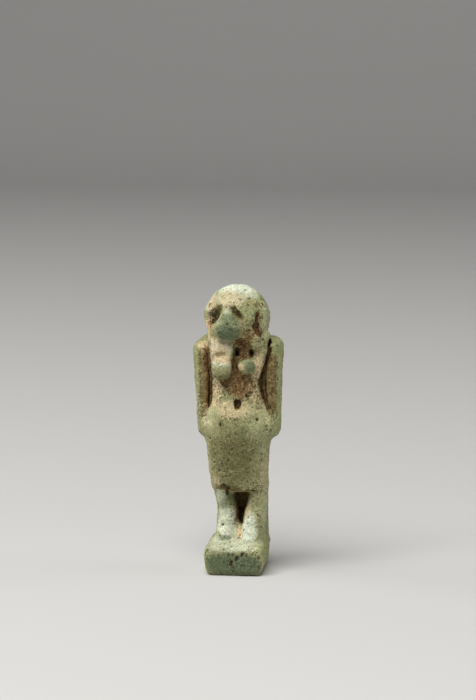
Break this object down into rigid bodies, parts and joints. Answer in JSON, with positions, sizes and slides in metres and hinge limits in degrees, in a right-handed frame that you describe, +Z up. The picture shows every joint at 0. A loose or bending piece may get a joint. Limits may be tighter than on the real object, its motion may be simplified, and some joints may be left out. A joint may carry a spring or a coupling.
{
  "type": "faience amulet figurine",
  "caption": "Small moulded faience amulet of a standing animal-headed goddess on a block base, with a back pillar pierced for a cord.",
  "frame": {"origin": "centre of the base's flat underside", "axes": "+Z up along the figure, -Y the way the figure faces, +X to the figure's left hand"},
  "size_m": [0.01, 0.0085, 0.0317],
  "materials": {
    "faience": "matte"
  },
  "bodies": {
    "root": {"figurine": "faience"}
  },
  "joints": []
}
